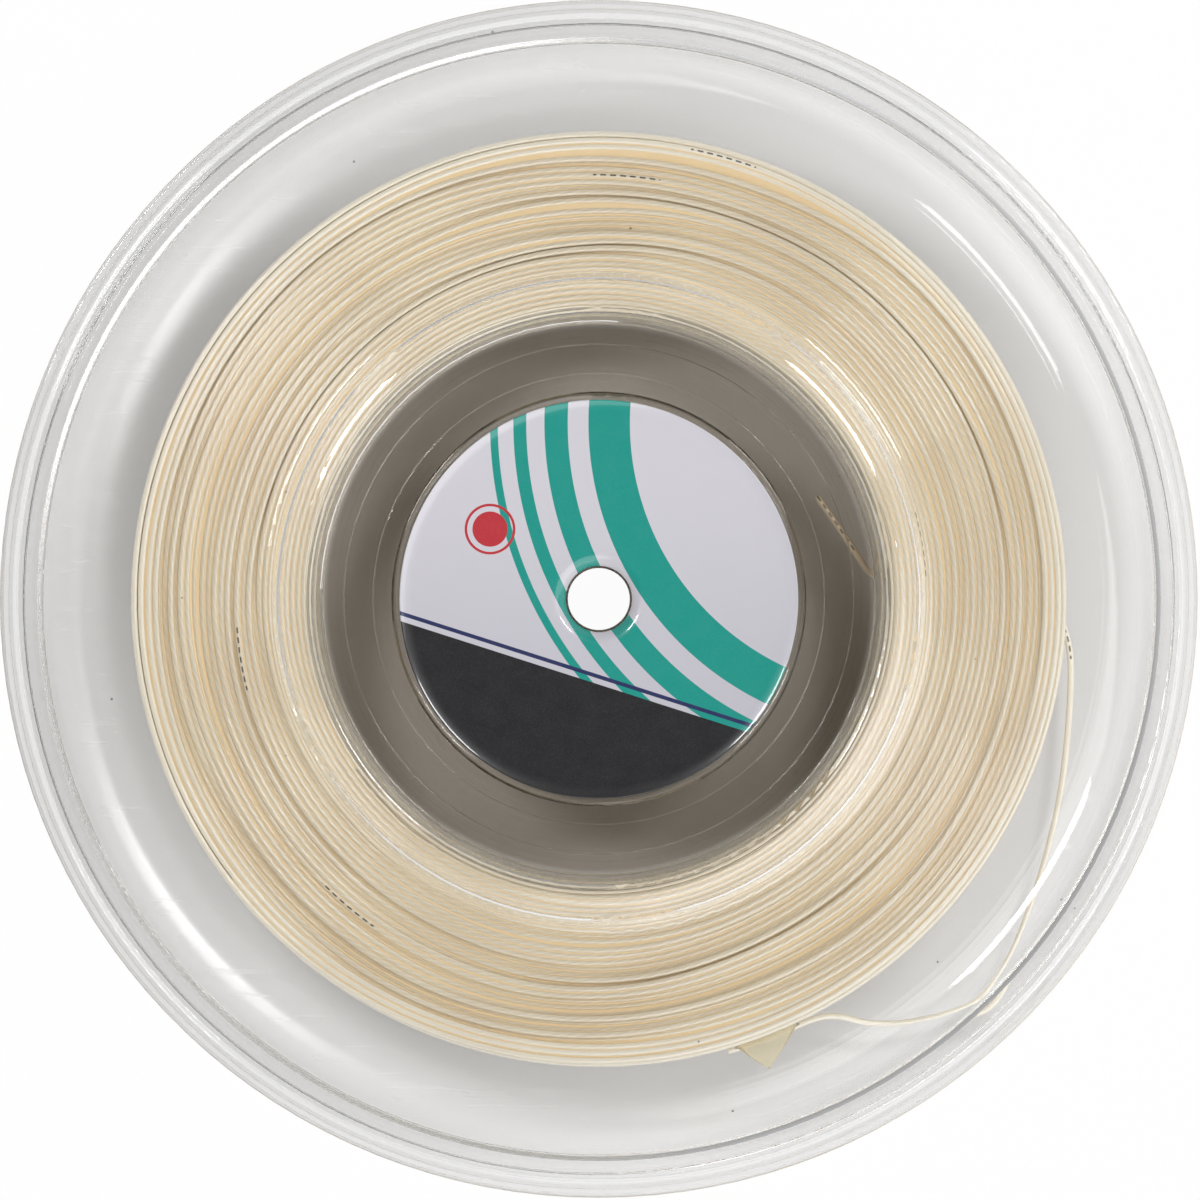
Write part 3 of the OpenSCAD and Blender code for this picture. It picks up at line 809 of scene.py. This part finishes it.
def label_finish():
    material, tree, out = new_material("printed_label")
    place_of = add(tree, "TexCoord").outputs["Object"]
    parts = add(tree, "SeparateXYZ", Vector=place_of)
    x, y = parts.outputs[0], parts.outputs[1]

    # The field is a little lighter towards the top of the label.
    field = mix_colour(tree, ramp(tree, y, -0.03, 0.03), colour(196, 194, 203), colour(212, 210, 217))
    art = field
    for inner, outer in ((52, 60), (64, 68.5), (72, 74.5), (77.5, 79)):
        far = distance_from(tree, x, y, 58 * MM, 34 * MM)
        art = mix_colour(tree, ring_mask(tree, far, inner * MM, outer * MM), art, colour(18, 150, 138))
    slope = calc(tree, "MULTIPLY_ADD", x, 0.32, y)
    art = mix_colour(tree, below(tree, slope, -16.5 * MM), art, colour(30, 30, 33))
    stripe = calc(tree, "SUBTRACT", below(tree, slope, -14.6 * MM), below(tree, slope, -15.4 * MM))
    art = mix_colour(tree, stripe, art, colour(36, 44, 92))
    dot = distance_from(tree, x, y, -21 * MM, 13.5 * MM)
    art = mix_colour(tree, below(tree, dot, 3.4 * MM), art, colour(190, 48, 58))
    art = mix_colour(tree, ring_mask(tree, dot, 4.4 * MM, 4.9 * MM), art, colour(190, 48, 58))

    peel = add(tree, "TexNoise", Vector=place_of, Scale=260.0, Detail=2.0).outputs["Fac"]
    fleck = add(tree, "TexNoise", Vector=place_of, Scale=5200.0, Detail=1.0).outputs["Fac"]
    glint = calc(tree, "MULTIPLY", ramp(tree, fleck, 0.45, 0.7), 0.015)
    printed = mix_colour(tree, glint, art, colour(255, 255, 255))
    rough = calc(tree, "MULTIPLY_ADD", peel, 0.12, 0.28)
    bump = add(tree, "Bump", Strength=0.15, Distance=0.00005, Height=peel)
    film = add(tree, "BsdfPrincipled", Base_Color=printed, Roughness=rough, Coat_Weight=0.8,
               Coat_Roughness=0.06, Normal=bump.outputs[0])
    tree.links.new(film.outputs[0], out.inputs[0])
    return material


dress(label_disc, label_finish())
print("label printed")

# %% [markdown]
# ## What rides on what
#
# Every piece moves with the CAD body it belongs to; this reel has one. The string pieces, the tape and
# the disc stand in for their plain CAD bodies, which are hidden.

# %% Riding and replacing
fillings = [core, front_sheet, rear_sheet]
for piece in string_pieces + fillings + [tape, label_disc]:
    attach(piece, "root")
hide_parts("string_outer_layer", "string_start")
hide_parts("string_core")
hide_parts("string_tail")
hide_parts("end_tape")
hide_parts("label")

# %% [markdown]
# ## Floor and light
#
# The floor is a plain pale sheet. To the camera it shows white, but part of what the camera sees is its
# real shading, so the reel keeps a soft shadow. Through the clear plastic the real floor is seen. Three
# lamps light the reel: two small ones, near and bright, from the upper left and right, which draw thin
# white lines on the strings and the coves, and a broad one from below right, which lights the floor and
# fills the shadows.

# %% Floor
def floor_finish():
    material, tree, out = new_material("white_floor")
    place_of = add(tree, "TexCoord").outputs["Object"]
    grain = add(tree, "TexNoise", Vector=place_of, Scale=40.0, Detail=2.0).outputs["Fac"]
    paper = mix_colour(tree, grain, colour(243, 243, 244), colour(247, 247, 247))
    sheet = add(tree, "BsdfDiffuse", Color=paper)
    glow = add(tree, "Emission", Color=(1, 1, 1, 1), Strength=1.0)
    path = add(tree, "LightPath")
    seen = calc(tree, "MULTIPLY", path.outputs["Is Camera Ray"], 0.96)
    through = calc(tree, "MULTIPLY", calc(tree, "MAXIMUM", path.outputs["Is Transmission Ray"],
                                          path.outputs["Is Glossy Ray"]), 0.02)
    both = add(tree, "MixShader", Fac=calc(tree, "MAXIMUM", seen, through))
    tree.links.new(sheet.outputs[0], both.inputs[1])
    tree.links.new(glow.outputs[0], both.inputs[2])
    tree.links.new(both.outputs[0], out.inputs[0])
    return material


FLOOR_SIZE = 6.0
floor_mesh = bpy.data.meshes.new("floor")
half = FLOOR_SIZE / 2
FLOOR_Z = -0.05 * MM
floor_mesh.from_pydata([(-half, -half, FLOOR_Z), (half, -half, FLOOR_Z), (half, half, FLOOR_Z),
                        (-half, half, FLOOR_Z)], [], [(0, 1, 2, 3)])
floor = bpy.data.objects.new("floor", floor_mesh)
bpy.context.scene.collection.objects.link(floor)
dress(floor, floor_finish())

# %% Lamps
def lamp(name, azimuth, off_axis, width, height, power, distance=1.6):
    """A soft lamp that looks at the reel; azimuth 0 is to the right, 90 at the top."""
    data = bpy.data.lights.new(name, "AREA")
    data.shape = "RECTANGLE"
    data.size = width
    data.size_y = height
    data.energy = power
    made = bpy.data.objects.new(name, data)
    a, off = math.radians(azimuth), math.radians(off_axis)
    away = Vector((math.sin(off) * math.cos(a), math.sin(off) * math.sin(a), math.cos(off)))
    made.location = distance * away + Vector((0, 0, MIDDLE))
    made.rotation_euler = away.to_track_quat("Z", "Y").to_euler()
    bpy.context.scene.collection.objects.link(made)
    return made


lamp("left_strip", 146, 30, 0.17, 0.10, 1.4, distance=0.75)
lamp("right_strip", 38, 30, 0.17, 0.10, 1.15, distance=0.75)
lamp("lower_broad", 312, 36, 1.8, 1.2, 12.5)

# %% Sky of the studio
TOP_LIGHT = 0.025
SIDE_LIGHT = 0.75
BRIGHTER_SIDE = math.radians(315)


def studio_sky():
    world = bpy.data.worlds.new("studio")
    world.use_nodes = True
    tree = world.node_tree
    tree.nodes.clear()
    way = add(tree, "SeparateXYZ", Vector=add(tree, "TexCoord").outputs["Generated"])
    across = calc(tree, "MULTIPLY", way.outputs[0], math.cos(BRIGHTER_SIDE))
    across = calc(tree, "MULTIPLY_ADD", way.outputs[1], math.sin(BRIGHTER_SIDE), across)
    bias = calc(tree, "MULTIPLY_ADD", across, 0.4, 1.0)
    side = calc(tree, "MULTIPLY", ramp(tree, way.outputs[2], 0.80, 0.45), bias)
    level = calc(tree, "MULTIPLY_ADD", side, SIDE_LIGHT - TOP_LIGHT, TOP_LIGHT)
    strength = calc(tree, "MAXIMUM", add(tree, "LightPath").outputs["Is Camera Ray"], level)
    air = add(tree, "Background", Color=(1, 1, 1, 1), Strength=strength)
    tree.links.new(air.outputs[0], add(tree, "OutputWorld").inputs[0])
    return world


bpy.context.scene.world = studio_sky()
bpy.context.scene.view_settings.view_transform = "Standard"
